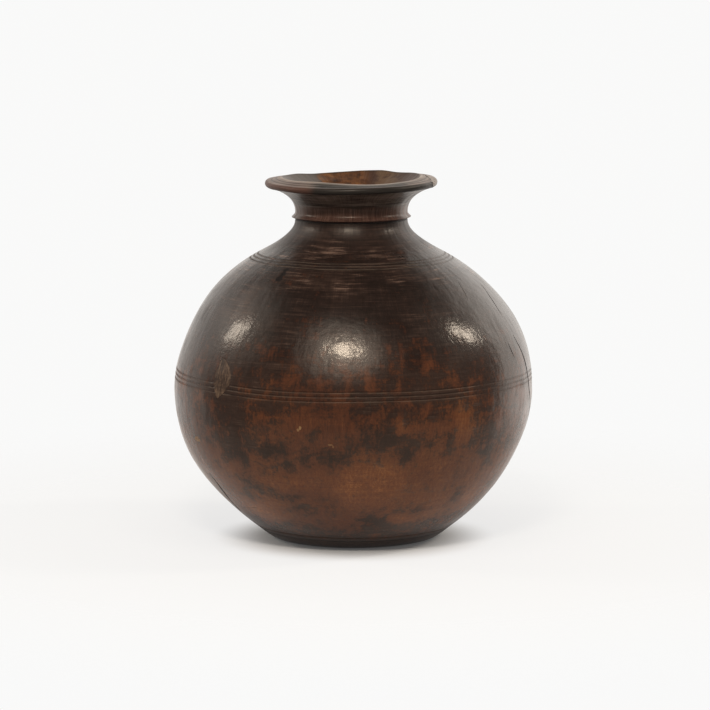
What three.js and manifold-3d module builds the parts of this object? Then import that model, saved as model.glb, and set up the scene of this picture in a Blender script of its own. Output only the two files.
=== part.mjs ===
// A hand-turned wooden jar with a round belly, a waisted neck and a flared lip.
// Millimetres, +Z up. The origin is on the jar's axis, in the plane that it stands on.
import * as THREE from "three";
import { mergeVertices } from "three/addons/utils/BufferGeometryUtils.js";
import Module from "manifold-3d";

// Body: heights are stacked from the floor up, so that one can change without the others.
const BELLY_RADIUS = 179;
const FOOT_HEIGHT = 9.5;
const LOWER_RISE = 141.3;
const SHOULDER_RISE = 134;
const COVE_RISE = 32;
const COVE_SPREAD = 35.3;
const WALL = 14;

// Base plug: a flat disc with a flared edge, and a spigot that fills the hole in the body.
const FOOT_RADIUS = 77;
const FOOT_FLARE = 18;
const FOOT_LEDGE = 11;

// Neck: a spigot that stands in the body's socket, a pointed bead, a hollow waist and a flared lip.
const BORE_RADIUS = 45;
const SPIGOT_WALL = 5.5;
const SEAT_LEDGE = 5.5;
const BEAD_RISE = 1.4;
const BEAD_NOSE = 0.8;
const BEAD_FALL = 4.8;
const BEAD_PROUD = 3.3;
const WAIST_RISE = 25.2;
const LIP_SPREAD = 26.3;
const LIP_EDGE = 6.5;
const LIP_CROWN = 2.3;
const CREST_INSET = 13.3;
const FUNNEL_DEPTH = 28;

// Joints: the resin bed under a shoulder, and the play between a spigot or patch and its seat.
const RESIN_BED = 1.2;
const RESIN_RECESS = 0.6;
const PLAY = 0.3;

// Incised lines, cut in bands with the same scratch tool; distances run along the surface.
const LINE_WIDTH = 2;
const LINE_DEPTH = 0.8;
const LINE_PITCH = 4.4;
const BAND_LINES = 3;
const BELLY_BAND_RISE = 15.4;
const SHOULDER_BAND_DROP = 6.8;
const FOOT_BAND_RISE = 6;
const FOOT_BAND_LINES = 1;
const LIP_BAND_INSET = 5.5;
const LIP_BAND_LINES = 2;

// Pointed patch let into the left of the belly, bulging more to its right than to its left.
const PATCH_TURN = THREE.MathUtils.degToRad(-48);
const PATCH_RISE = 24;
const PATCH_LENGTH = 40;
const PATCH_LEFT = 7;
const PATCH_RIGHT = 16;
const PATCH_DEPTH = 6;

// Repair of the lip: a segment beyond a straight saw cut.
const RIM_REPAIR_TURN = THREE.MathUtils.degToRad(97);
const RIM_REPAIR_DEPTH = 10;

// Lean of the outline, from the horizontal, where two of its curves meet.
const FOOT_LEAN = THREE.MathUtils.degToRad(40);
const SHOULDER_LEAN = THREE.MathUtils.degToRad(152);
const LIP_LEAN = THREE.MathUtils.degToRad(20);
const BEAD_LEAN = THREE.MathUtils.degToRad(135);
const FUNNEL_LEAN = THREE.MathUtils.degToRad(-135);
const UPRIGHT = Math.PI / 2;
const OUTWARD = 0;

// Fullness of each curve: the pull of its two ends as a share of its span.
const LOWER_PULL = [0.11, 0.51];
const SHOULDER_PULL = [0.22, 0.48];
const COVE_PULL = [0.18, 0.3];
const FOOT_PULL = [0.3, 0.35];
const BEAD_PULL = [0.4, 0.4];
const WAIST_PULL = [0.47, 0.17];
const FUNNEL_PULL = [0.35, 0.5];

// Facets round the axis, and steps along each curve of the outline.
const TURNS = 48;
const OUTER_STEPS = 10;
const INNER_STEPS = 6;
const SMALL_STEPS = 5;
const BEAD_STEPS = 3;
const WELD = 1e-4;

// Heights and radii that follow from the sizes above.
const bodyBottom = FOOT_HEIGHT + RESIN_BED;
const bellyHeight = bodyBottom + LOWER_RISE;
const shoulderHeight = bellyHeight + SHOULDER_RISE;
const seatHeight = shoulderHeight + COVE_RISE;
const neckBottom = seatHeight + RESIN_BED;
const noseHeight = neckBottom + BEAD_RISE;
const waistBottom = noseHeight + BEAD_NOSE + BEAD_FALL;
const lipBottom = waistBottom + WAIST_RISE;
const lipTop = lipBottom + LIP_EDGE;
const crestHeight = lipTop + LIP_CROWN;
const plugRadius = FOOT_RADIUS - FOOT_LEDGE;
const holeRadius = plugRadius + PLAY;
const footEdgeRadius = FOOT_RADIUS + FOOT_FLARE;
const bodyFootRadius = footEdgeRadius + RESIN_BED / Math.tan(FOOT_LEAN);
const spigotRadius = BORE_RADIUS + SPIGOT_WALL;
const socketRadius = spigotRadius + PLAY;
const neckRadius = spigotRadius + SEAT_LEDGE;
const noseRadius = neckRadius + BEAD_PROUD;
const shoulderRadius = neckRadius + COVE_SPREAD;
const lipEdgeRadius = neckRadius + LIP_SPREAD;
const crestRadius = lipEdgeRadius - CREST_INSET;

const wasm = await Module();
wasm.setup();

// Profiles hold radius as x and height as y.
const at = (radius, height) => new THREE.Vector2(radius, height);
const heading = (angle) => at(Math.cos(angle), Math.sin(angle));

// A smooth curve between two points that leaves and arrives along the given headings.
function sweep(from, fromAngle, to, toAngle, [fromPull, toPull]) {
  const span = from.distanceTo(to);
  const leave = from.clone().addScaledVector(heading(fromAngle), fromPull * span);
  const arrive = to.clone().addScaledVector(heading(toAngle), -toPull * span);
  return new THREE.CubicBezierCurve(from, leave, arrive, to);
}

// The point at a fraction of a curve's length, moved off the curve to its left.
function beside(curve, fraction, distance) {
  const tangent = curve.getTangentAt(fraction);
  return curve.getPointAt(fraction).add(at(-tangent.y, tangent.x).multiplyScalar(distance));
}

// Evenly spaced points of a curve, moved to its left by a distance.
function trace(curve, steps, distance = 0) {
  return Array.from({ length: steps + 1 }, (_, step) => beside(curve, step / steps, distance));
}

// Points of curves that follow on from each other, without the doubled points where they meet.
function traceAll(curves, steps, distance) {
  return curves.flatMap((curve, index) => trace(curve, steps, distance).slice(index === 0 ? 0 : 1));
}

// Where the lines of a band lie, as fractions of a curve's length.
function band(curve, middle, count) {
  const first = middle - ((count - 1) * LINE_PITCH) / 2;
  return Array.from({ length: count }, (_, line) => (first + line * LINE_PITCH) / curve.getLength());
}

// The points of a curve with a V-shaped line cut to its left at each given fraction.
function incise(curve, steps, lines) {
  const half = LINE_WIDTH / 2 / curve.getLength();
  const cuts = lines.flatMap((line) => [
    { fraction: line - half, depth: 0 },
    { fraction: line, depth: LINE_DEPTH },
    { fraction: line + half, depth: 0 },
  ]);
  const clear = (fraction) => lines.every((line) => Math.abs(fraction - line) > 2 * half);
  const plain = Array.from({ length: steps + 1 }, (_, step) => ({ fraction: step / steps, depth: 0 }));
  return [...plain.filter(({ fraction }) => clear(fraction)), ...cuts]
    .sort((a, b) => a.fraction - b.fraction)
    .map(({ fraction, depth }) => beside(curve, fraction, depth));
}

// The part of a rising line of points that stays outside a radius, ending on that radius.
function outside(points, radius) {
  const end = points.findIndex((point) => point.x < radius);
  const before = points[end - 1];
  const share = (before.x - radius) / (before.x - points[end].x);
  return [...points.slice(0, end), before.clone().lerp(points[end], share)];
}

// Turns a profile about the jar's axis.
function turn(points) {
  return new THREE.LatheGeometry(points, TURNS).rotateX(Math.PI / 2);
}

const ring = (points) => turn([...points, points[0].clone()]);

function solid(geometry) {
  geometry.deleteAttribute("normal");
  geometry.deleteAttribute("uv");
  const welded = mergeVertices(geometry, WELD);
  const vertProperties = welded.getAttribute("position").array;
  const triVerts = Uint32Array.from(welded.index.array);
  return new wasm.Manifold(new wasm.Mesh({ numProp: 3, vertProperties, triVerts }));
}

function geometryOf(cutSolid) {
  const { vertProperties, triVerts } = cutSolid.getMesh();
  const geometry = new THREE.BufferGeometry();
  geometry.setAttribute("position", new THREE.BufferAttribute(vertProperties, 3));
  geometry.setIndex(new THREE.BufferAttribute(triVerts, 1));
  geometry.computeVertexNormals();
  return geometry;
}

// Outline of the body, from the base joint up to the seat of the neck.
const lowerBelly = sweep(
  at(bodyFootRadius, bodyBottom), FOOT_LEAN, at(BELLY_RADIUS, bellyHeight), UPRIGHT, LOWER_PULL,
);
const shoulder = sweep(
  lowerBelly.v3, UPRIGHT, at(shoulderRadius, shoulderHeight), SHOULDER_LEAN, SHOULDER_PULL,
);
const cove = sweep(shoulder.v3, SHOULDER_LEAN, at(neckRadius, seatHeight), UPRIGHT, COVE_PULL);

// The inside follows the outline at the wall's thickness, up to the socket of the neck.
const inside = outside(traceAll([lowerBelly, shoulder, cove], INNER_STEPS, WALL), socketRadius);
const floorHeight = inside[0].y;
const socketBottom = inside[inside.length - 1].y;

function bodyOutline() {
  const bellyLines = band(shoulder, BELLY_BAND_RISE, BAND_LINES);
  const shoulderLines = band(shoulder, shoulder.getLength() - SHOULDER_BAND_DROP, BAND_LINES);
  return [
    ...incise(lowerBelly, OUTER_STEPS, band(lowerBelly, FOOT_BAND_RISE, FOOT_BAND_LINES)),
    ...incise(shoulder, OUTER_STEPS, [...bellyLines, ...shoulderLines]).slice(1),
    ...trace(cove, SMALL_STEPS).slice(1),
  ];
}

function turnedBody() {
  return ring([
    ...bodyOutline(),
    at(socketRadius, seatHeight),
    ...inside.toReversed(),
    at(holeRadius, floorHeight),
    at(holeRadius, bodyBottom),
  ]);
}

function basePlug() {
  const edge = sweep(at(FOOT_RADIUS, 0), OUTWARD, at(footEdgeRadius, FOOT_HEIGHT), FOOT_LEAN, FOOT_PULL);
  return turn([
    at(0, 0),
    ...trace(edge, SMALL_STEPS),
    at(plugRadius, FOOT_HEIGHT),
    at(plugRadius, floorHeight),
    at(0, floorHeight),
  ]);
}

// A flat ring of resin between two shoulders, set back a little from the surface.
function resinRing(innerRadius, surfaceRadius, bottom) {
  const outerRadius = surfaceRadius - RESIN_RECESS;
  return ring([
    at(outerRadius, bottom),
    at(outerRadius, bottom + RESIN_BED),
    at(innerRadius, bottom + RESIN_BED),
    at(innerRadius, bottom),
  ]);
}

// The neck with its bead, waist and lip; the lines on the lip are left out where it is repaired.
function neckAndRim(lipLines) {
  const nose = at(noseRadius, noseHeight + BEAD_NOSE);
  const quirk = sweep(nose, BEAD_LEAN, at(neckRadius, waistBottom), UPRIGHT, BEAD_PULL);
  const waist = sweep(
    at(neckRadius, waistBottom), UPRIGHT, at(lipEdgeRadius, lipBottom), LIP_LEAN, WAIST_PULL,
  );
  const round = LIP_EDGE / 2;
  const lipEdge = new THREE.EllipseCurve(lipEdgeRadius, lipBottom + round, round, round, -UPRIGHT, UPRIGHT);
  const lipFace = new THREE.LineCurve(at(lipEdgeRadius, lipTop), at(crestRadius, crestHeight));
  const funnel = sweep(
    lipFace.v2, FUNNEL_LEAN, at(BORE_RADIUS, crestHeight - FUNNEL_DEPTH), -UPRIGHT, FUNNEL_PULL,
  );
  return ring([
    at(neckRadius, neckBottom),
    at(noseRadius, noseHeight),
    ...trace(quirk, BEAD_STEPS),
    ...trace(waist, SMALL_STEPS).slice(1),
    ...trace(lipEdge, SMALL_STEPS).slice(1),
    ...incise(lipFace, 1, band(lipFace, LIP_BAND_INSET, lipLines)).slice(1),
    ...trace(funnel, SMALL_STEPS).slice(1),
    at(BORE_RADIUS, socketBottom),
    at(spigotRadius, socketBottom),
    at(spigotRadius, neckBottom),
  ]);
}

// Everything beyond a straight cut across the lip, as a block turned to face the repair.
function beyondCut(distance) {
  const size = 2 * BELLY_RADIUS;
  const block = new THREE.BoxGeometry(size, size, 2 * crestHeight);
  return solid(block.translate(0, -distance - size / 2, 0).rotateZ(RIM_REPAIR_TURN));
}

// The outer layer of the body between two depths under its plain outline.
function skin(outerDepth, innerDepth) {
  const layer = (depth) => traceAll([lowerBelly, shoulder], OUTER_STEPS, depth);
  return solid(ring([...layer(outerDepth), ...layer(innerDepth).toReversed()]));
}

// A pointed prism through the wall, seen from outside with its left and right bulges.
function pointedPrism(margin) {
  const tip = PATCH_LENGTH / 2 + 2 * margin;
  const outline = new THREE.Shape();
  outline.moveTo(0, -tip);
  outline.quadraticCurveTo(2 * (PATCH_RIGHT + margin), 0, 0, tip);
  outline.quadraticCurveTo(-2 * (PATCH_LEFT + margin), 0, 0, -tip);
  const settings = { depth: BELLY_RADIUS, bevelEnabled: false, curveSegments: SMALL_STEPS };
  const prism = new THREE.ExtrudeGeometry(outline, settings).rotateX(UPRIGHT);
  prism.translate(0, -WALL, bellyHeight + PATCH_RISE).rotateZ(PATCH_TURN);
  return solid(prism);
}

const jar = new THREE.Group();
jar.name = "wooden_jar";

function addPiece(name, geometry, color, roughness) {
  const material = new THREE.MeshStandardMaterial({ color, roughness, metalness: 0 });
  const piece = new THREE.Mesh(geometry, material);
  piece.name = name;
  jar.add(piece);
}

const pocket = skin(-PATCH_DEPTH, PATCH_DEPTH + PLAY).intersect(pointedPrism(PLAY));
const patch = skin(0, PATCH_DEPTH).intersect(pointedPrism(0));
const cutDistance = lipEdgeRadius + LIP_EDGE / 2 - RIM_REPAIR_DEPTH;
const rim = solid(neckAndRim(LIP_BAND_LINES)).subtract(beyondCut(cutDistance));
const rimPatch = solid(neckAndRim(0)).intersect(beyondCut(cutDistance + PLAY));

addPiece("turned_body", geometryOf(solid(turnedBody()).subtract(pocket)), 0x4b3027, 0.42);
addPiece("neck_and_rim", geometryOf(rim), 0x55382b, 0.45);
addPiece("base_plug", basePlug(), 0x382a25, 0.55);
addPiece("neck_joint_resin", resinRing(socketRadius, neckRadius, seatHeight), 0x1d1613, 0.5);
addPiece("base_joint_resin", resinRing(holeRadius, footEdgeRadius, FOOT_HEIGHT), 0x1d1613, 0.5);
addPiece("belly_patch", geometryOf(patch), 0x5a4233, 0.48);
addPiece("rim_patch", geometryOf(rimPatch), 0x7a6a60, 0.5);

export default jar;
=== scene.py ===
from bisect import bisect_left
from math import atan2, cos, exp, hypot, pi, radians, sin, tan, tau
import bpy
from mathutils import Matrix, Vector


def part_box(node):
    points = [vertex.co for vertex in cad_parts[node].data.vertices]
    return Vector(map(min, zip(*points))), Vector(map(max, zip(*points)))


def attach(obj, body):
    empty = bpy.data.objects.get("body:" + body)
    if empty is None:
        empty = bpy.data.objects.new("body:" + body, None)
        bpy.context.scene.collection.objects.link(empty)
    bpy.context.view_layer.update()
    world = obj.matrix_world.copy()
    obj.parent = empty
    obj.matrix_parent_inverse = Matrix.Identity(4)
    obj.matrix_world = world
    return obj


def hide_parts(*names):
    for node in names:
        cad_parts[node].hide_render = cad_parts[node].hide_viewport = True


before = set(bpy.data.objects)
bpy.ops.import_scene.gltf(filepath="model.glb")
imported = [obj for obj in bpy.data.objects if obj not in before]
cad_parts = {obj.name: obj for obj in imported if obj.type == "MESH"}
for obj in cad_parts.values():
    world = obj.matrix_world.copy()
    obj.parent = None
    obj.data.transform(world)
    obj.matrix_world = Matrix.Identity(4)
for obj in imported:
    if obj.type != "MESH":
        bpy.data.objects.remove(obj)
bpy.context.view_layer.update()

from types import SimpleNamespace

import bmesh
import bpy
from mathutils import Matrix, Quaternion, Vector, noise
from mathutils.bvhtree import BVHTree
from mathutils.geometry import interpolate_bezier

scene = bpy.context.scene

MM = 0.001

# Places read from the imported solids, in metres.
body_low, body_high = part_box("turned_body")
neck_low, neck_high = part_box("neck_and_rim")
plug_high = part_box("base_plug")[1]
seal_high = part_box("neck_joint_resin")[1]
bed_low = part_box("base_joint_resin")[0]
BELLY_RADIUS = body_high.x
BODY_BOTTOM = body_low.z
SEAT_HEIGHT = body_high.z
NECK_BOTTOM = seal_high.z
SOCKET_BOTTOM = neck_low.z
CREST_HEIGHT = neck_high.z
FOOT_HEIGHT = bed_low.z
FLOOR_TOP = plug_high.z
FOOT_EDGE_RADIUS = plug_high.x

# Driving sizes that the boxes of the solids don't give.
WALL = 14 * MM
LOWER_RISE = 141.3 * MM
SHOULDER_RISE = 134 * MM
COVE_SPREAD = 35.3 * MM
FOOT_RADIUS = 77 * MM
FOOT_LEDGE = 11 * MM
BORE_RADIUS = 45 * MM
SPIGOT_WALL = 5.5 * MM
SEAT_LEDGE = 5.5 * MM
BEAD_RISE = 1.4 * MM
BEAD_NOSE = 0.8 * MM
BEAD_FALL = 4.8 * MM
BEAD_PROUD = 3.3 * MM
LIP_SPREAD = 26.3 * MM
LIP_EDGE = 6.5 * MM
LIP_CROWN = 2.3 * MM
CREST_INSET = 13.3 * MM
FUNNEL_DEPTH = 28 * MM
RESIN_RECESS = 0.15 * MM
PLAY = 0.15 * MM

# Incised lines.
LINE_WIDTH = 2.0 * MM
LINE_DEPTH = 0.45 * MM
LINE_PITCH = 4.4 * MM
BELLY_BAND_RISE = 14.4 * MM
SHOULDER_BAND_DROP = 6.8 * MM
FOOT_BAND_RISE = 6 * MM
LIP_BAND_INSET = 5.5 * MM
# Where a line has points across it, and how far other points keep away, in half-widths of the line.
LINE_SHARES = (-1.4, -1.0, -0.66, -0.33, 0.0, 0.33, 0.66, 1.0, 1.4)
LINE_CLEARANCE = 1.7

# Repairs.
PATCH_TURN = radians(-48)
PATCH_RISE = 24 * MM
PATCH_LENGTH = 40 * MM
PATCH_LEFT = 7 * MM
PATCH_RIGHT = 16 * MM
PATCH_DEPTH = 6 * MM
RIM_REPAIR_TURN = radians(97)
RIM_REPAIR_DEPTH = 10 * MM
PRISM_OVERRUN = 8 * MM
BLANK_SHARE = 0.7

# Leans and pulls of the outline's curves.
FOOT_LEAN = radians(40)
SHOULDER_LEAN = radians(152)
LIP_LEAN = radians(20)
BEAD_LEAN = radians(135)
FUNNEL_LEAN = radians(-135)
UPRIGHT = pi / 2
OUTWARD = 0.0

belly_height = BODY_BOTTOM + LOWER_RISE
shoulder_height = belly_height + SHOULDER_RISE
body_foot_radius = FOOT_EDGE_RADIUS + (BODY_BOTTOM - FOOT_HEIGHT) / tan(FOOT_LEAN)
plug_radius = FOOT_RADIUS - FOOT_LEDGE
spigot_radius = BORE_RADIUS + SPIGOT_WALL
socket_radius = spigot_radius + 2 * PLAY
neck_radius = spigot_radius + SEAT_LEDGE
nose_radius = neck_radius + BEAD_PROUD
nose_height = NECK_BOTTOM + BEAD_RISE
waist_bottom = nose_height + BEAD_NOSE + BEAD_FALL
shoulder_radius = neck_radius + COVE_SPREAD
lip_edge_radius = neck_radius + LIP_SPREAD
crest_radius = lip_edge_radius - CREST_INSET
lip_top = CREST_HEIGHT - LIP_CROWN
lip_bottom = lip_top - LIP_EDGE

# Fineness of the turned pieces.
TURNS = 256
PLAIN_STEP = 3 * MM
HIDDEN_STEP = 12 * MM
SMALL_STEP = 1.2 * MM
CURVE_POINTS = 300
LIP_EDGE_STEPS = 10
LIP_FACE_STEPS = 40
PATCH_STEPS = 24
PRISM_STEPS = 20
FEWEST_TURNS = 8
WELD = 1e-6
SAW_SLACK = 1e-7
SHARP_ANGLE = radians(42)

# The camera: how far away, how high, and where it aims.
PICTURE = 710
VIEW_DISTANCE = 4.3
VIEW_RISE = radians(8.3)
AIM = Vector((1.5 * MM, 0, 181.5 * MM))
SENSOR = 36.0
PIXEL = MM

toward_camera = Vector((0, -cos(VIEW_RISE), sin(VIEW_RISE)))
camera_right = Vector((1, 0, 0))
camera_up = toward_camera.cross(camera_right)
camera_data = bpy.data.cameras.new("camera")
camera_data.sensor_width = SENSOR
camera_data.lens = SENSOR * VIEW_DISTANCE / (PICTURE * PIXEL)
camera = bpy.data.objects.new("camera", camera_data)
camera.location = AIM + toward_camera * VIEW_DISTANCE
camera.rotation_euler = toward_camera.to_track_quat("Z", "Y").to_euler()
scene.collection.objects.link(camera)
scene.camera = camera


def clamp(value):
    return min(1.0, max(0.0, value))


def ease(value):
    value = clamp(value)
    return value * value * (3 - 2 * value)


def along(stops, place):
    """The value at a place, eased between stops of place and value."""
    for (low, first), (high, second) in zip(stops, stops[1:]):
        if place <= high:
            return first + (second - first) * ease((place - low) / (high - low))
    return stops[-1][1]


# Outlines. A point of an outline holds its radius as x and its height as z.
def at(radius, height):
    return Vector((radius, 0.0, height))


def heading(angle):
    return at(cos(angle), sin(angle))


def sweep(start, leave, end, arrive, pulls):
    """A smooth curve that leaves its start and arrives at its end along two leans."""
    span = (end - start).length
    first = start + heading(leave) * (pulls[0] * span)
    second = end - heading(arrive) * (pulls[1] * span)
    return interpolate_bezier(start, first, second, end, CURVE_POINTS)


def lengths(points):
    """How far along a curve each of its points lies."""
    travelled = [0.0]
    for a, b in zip(points, points[1:]):
        travelled.append(travelled[-1] + (b - a).length)
    return travelled


def stand(points, travelled, place, inset=0.0):
    """The point at a distance along a curve, moved to the curve's left."""
    place = min(max(place, 0.0), travelled[-1])
    index = next(i for i in range(1, len(points)) if travelled[i] >= place)
    step = travelled[index] - travelled[index - 1]
    share = (place - travelled[index - 1]) / step
    run = (points[index] - points[index - 1]).normalized()
    return points[index - 1].lerp(points[index], share) + at(-run.z, run.x) * inset


def dressed(points, step, lines=(), inset=0.0):
    """A curve at even steps, with a rounded line cut to its left at each given distance."""
    travelled = lengths(points)
    total = travelled[-1]
    half = LINE_WIDTH / 2
    count = max(2, round(total / step))
    places = [total * index / count for index in range(count + 1)]
    clearance = LINE_CLEARANCE * half
    places = [place for place in places if all(abs(place - line) > clearance for line in lines)]
    places = sorted(places + [line + share * half for line in lines for share in LINE_SHARES])

    def depth(place):
        near = min((abs(place - line) / half for line in lines), default=1.0)
        return LINE_DEPTH * (1 + cos(pi * min(near, 1.0))) / 2

    return [stand(points, travelled, place, inset + depth(place)) for place in places]


def band(middle, count):
    return [middle + (index - (count - 1) / 2) * LINE_PITCH for index in range(count)]


lower_belly = sweep(
    at(body_foot_radius, BODY_BOTTOM), FOOT_LEAN, at(BELLY_RADIUS, belly_height), UPRIGHT, (0.11, 0.51)
)
shoulder = sweep(
    at(BELLY_RADIUS, belly_height), UPRIGHT, at(shoulder_radius, shoulder_height), SHOULDER_LEAN, (0.22, 0.48)
)
cove = sweep(
    at(shoulder_radius, shoulder_height), SHOULDER_LEAN, at(neck_radius, SEAT_HEIGHT), UPRIGHT, (0.18, 0.3)
)
belly_lines = band(BELLY_BAND_RISE, 3)
shoulder_lines = band(lengths(shoulder)[-1] - SHOULDER_BAND_DROP, 3)
foot_lines = band(FOOT_BAND_RISE, 1)
whole_outline = lower_belly + shoulder[1:] + cove[1:]
outline_heights = [point.z for point in whole_outline]


def line_places(curve, lines, clearness):
    """The height of each line, how steeply the outline rises there, and how clear the line is."""
    travelled = lengths(curve)
    places = []
    for line in lines:
        middle, above = stand(curve, travelled, line), stand(curve, travelled, line + MM)
        places.append((middle.z, (above - middle).z / MM, clearness))
    return places


LINE_PLACES = (
    line_places(lower_belly, foot_lines, 0.4)
    + line_places(shoulder, belly_lines, 1.0)
    + line_places(shoulder, shoulder_lines, 0.9)
)


def outline_radius(height):
    """The body's radius at a height, without its lines."""
    index = min(max(bisect_left(outline_heights, height), 1), len(whole_outline) - 1)
    a, b = whole_outline[index - 1], whole_outline[index]
    return a.x + (b.x - a.x) * (height - a.z) / (b.z - a.z)


# Meshes.
def turned(profile, angle=tau, start=0.0, closed=True):
    """Turns an outline about the jar's axis."""
    mesh = bmesh.new()
    points = [mesh.verts.new(point) for point in profile]
    followers = points[1:] + points[:1] if closed else points[1:]
    edges = [mesh.edges.new(pair) for pair in zip(points, followers)]
    bmesh.ops.rotate(mesh, verts=points, matrix=Matrix.Rotation(start, 3, "Z"))
    whole = angle == tau
    steps = TURNS if whole else max(FEWEST_TURNS, round(TURNS * angle / tau))
    if not whole:
        bmesh.ops.contextual_create(mesh, geom=edges)
    bmesh.ops.spin(
        mesh, geom=list(mesh.verts) + list(mesh.edges) + list(mesh.faces), axis=(0, 0, 1),
        cent=(0, 0, 0), angle=angle, steps=steps, use_merge=whole,
    )
    bmesh.ops.remove_doubles(mesh, verts=mesh.verts, dist=WELD)
    bmesh.ops.recalc_face_normals(mesh, faces=mesh.faces)
    return mesh


def as_object(name, mesh, finishes):
    data = bpy.data.meshes.new(name)
    mesh.to_mesh(data)
    mesh.free()
    for finish in finishes:
        data.materials.append(finish)
    made = bpy.data.objects.new(name, data)
    scene.collection.objects.link(made)
    return made


def carved(base, cutter, operation, finishes):
    """One mesh cut by another, or kept only inside it. Faces from the cutter take the second finish."""
    for face in cutter.faces:
        face.material_index = 1
    work = as_object("work", base, finishes)
    tool = as_object("tool", cutter, finishes)
    cut = work.modifiers.new("cut", "BOOLEAN")
    cut.operation = operation
    cut.solver = "MANIFOLD"
    cut.object = tool
    ready = work.evaluated_get(bpy.context.evaluated_depsgraph_get())
    mesh = bmesh.new()
    mesh.from_mesh(ready.to_mesh())
    ready.to_mesh_clear()
    if not mesh.faces:
        mesh.from_mesh(work.data)
    bpy.data.objects.remove(work)
    bpy.data.objects.remove(tool)
    return mesh


def azimuth(point):
    """The turn from the front towards the right."""
    return atan2(point.x, -point.y)


def facing(turn):
    return Vector((sin(turn), -cos(turn), 0.0))


# What age has done to the shape, the same for all pieces so that they stay together.
WANDER = (
    (0 * MM, 0.8 * MM),
    (25 * MM, 1.0 * MM),
    (90 * MM, -1.5 * MM),
    (150 * MM, -0.4 * MM),
    (205 * MM, 1.6 * MM),
    (280 * MM, -2.2 * MM),
    (362 * MM, -2.2 * MM),
)
BROAD_SWELL = (75 * MM, 0.9 * MM)
SMALL_SWELL = (21 * MM, 0.22 * MM)
NECK_TILT = 0.027
TILTED = ((300 * MM, 0.0), (316 * MM, 1.0), (328 * MM, 1.0), (345 * MM, 0.0))
LIP_TILT = 0.009
SETTLED_HEIGHT = 25 * MM
LIP_FADE = 12 * MM
LIP_FADE_DROP = 8 * MM
FAR_EDGE_SPAN = 40 * MM
LIP_SADDLE = 1.6 * MM
LIP_WAVER = (
    (radians(-180), -1.0 * MM),
    (radians(-150), -0.8 * MM),
    (radians(-126), 0.9 * MM),
    (radians(-90), 0.8 * MM),
    (radians(-54), -0.3 * MM),
    (radians(-27), 0.7 * MM),
    (radians(10), 0.1 * MM),
    (radians(46), 1.0 * MM),
    (radians(79), 1.2 * MM),
    (radians(105), 0.2 * MM),
    (radians(138), -2.4 * MM),
    (radians(155), -0.8 * MM),
    (radians(180), -1.0 * MM),
)
SEAM_WAVE = 0.9 * MM
SEAM_PITCH = 9 * MM
SEAM_REACH = 4 * MM
cut_distance = lip_edge_radius + LIP_EDGE / 2 - RIM_REPAIR_DEPTH
cut_facing = facing(RIM_REPAIR_TURN)

# Noise vectors differ from run to run unless they have a seed.
SWELL_SEED = 2
noise.seed_set(SWELL_SEED)


def aged(point):
    """Where a point of the true turned shape has come to lie."""
    swell = Vector()
    for reach, amount in (BROAD_SWELL, SMALL_SWELL):
        swell += noise.noise_vector(point / reach) * amount
    settled = ease(point.z / SETTLED_HEIGHT)
    moved = point + Vector((swell.x, swell.y, swell.z * settled))
    moved.x += along(WANDER, point.z)
    moved.z -= NECK_TILT * along(TILTED, point.z) * point.y
    turn = azimuth(point)
    radius = hypot(point.x, point.y)
    at_lip = ease((point.z - lip_bottom + LIP_FADE_DROP) / LIP_FADE)
    far_edge = ease(0.5 + point.y / FAR_EDGE_SPAN) if radius > crest_radius else 0.0
    near_crest = at_lip * max(far_edge, clamp(1 - abs(radius - crest_radius) / CREST_INSET))
    moved.z += near_crest * (along(LIP_WAVER, turn) - LIP_SADDLE * sin(2 * turn))
    moved.z += at_lip * LIP_TILT * point.x
    near_seam = at_lip * exp(-(((point.dot(cut_facing) - cut_distance) / SEAM_REACH) ** 2))
    moved += cut_facing * (SEAM_WAVE * near_seam * sin((point.y + 2 * point.z) * tau / SEAM_PITCH))
    return moved


def weathered(mesh):
    for point in mesh.verts:
        point.co = aged(point.co)
    mesh.normal_update()
    return mesh


# How clear the incised lines are, from behind by the left and the front to the right.
LINES_KEPT = (
    (radians(-180), 0.8),
    (radians(-80), 0.7),
    (radians(-55), 0.3),
    (radians(-44), 0.9),
    (radians(38), 0.9),
    (radians(44), 0.25),
    (radians(75), 0.3),
    (radians(110), 0.7),
    (radians(180), 0.8),
)


def rubbed(mesh):
    """Fills the belly's lines where wear has made them faint."""
    for point in mesh.verts:
        gap = outline_radius(point.co.z) - hypot(point.co.x, point.co.y)
        if abs(point.co.z - belly_height - BELLY_BAND_RISE) < 3 * LINE_PITCH and gap < 2 * LINE_DEPTH:
            turn = azimuth(point.co)
            point.co += facing(turn) * (gap * (1 - along(LINES_KEPT, turn)))
    return mesh


# The body as it was turned, before its patch and cracks.
def body_profile():
    inner = []
    for curve in (lower_belly, shoulder, cove):
        inner += dressed(curve, HIDDEN_STEP, inset=WALL)[1 if inner else 0:]
    end = next(index for index, point in enumerate(inner) if point.x < socket_radius)
    before, after = inner[end - 1], inner[end]
    share = (before.x - socket_radius) / (before.x - after.x)
    inner = inner[:end] + [before.lerp(after, share)]
    hole_radius = plug_radius + 2 * PLAY
    return (
        dressed(lower_belly, PLAIN_STEP, foot_lines)
        + dressed(shoulder, PLAIN_STEP, belly_lines + shoulder_lines)[1:]
        + dressed(cove, PLAIN_STEP)[1:]
        + [at(socket_radius, SEAT_HEIGHT)]
        + inner[::-1]
        + [at(hole_radius, FLOOR_TOP), at(hole_radius, BODY_BOTTOM)]
    )


body = weathered(rubbed(turned(body_profile())))
body_tree = BVHTree.FromBMesh(body)


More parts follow.
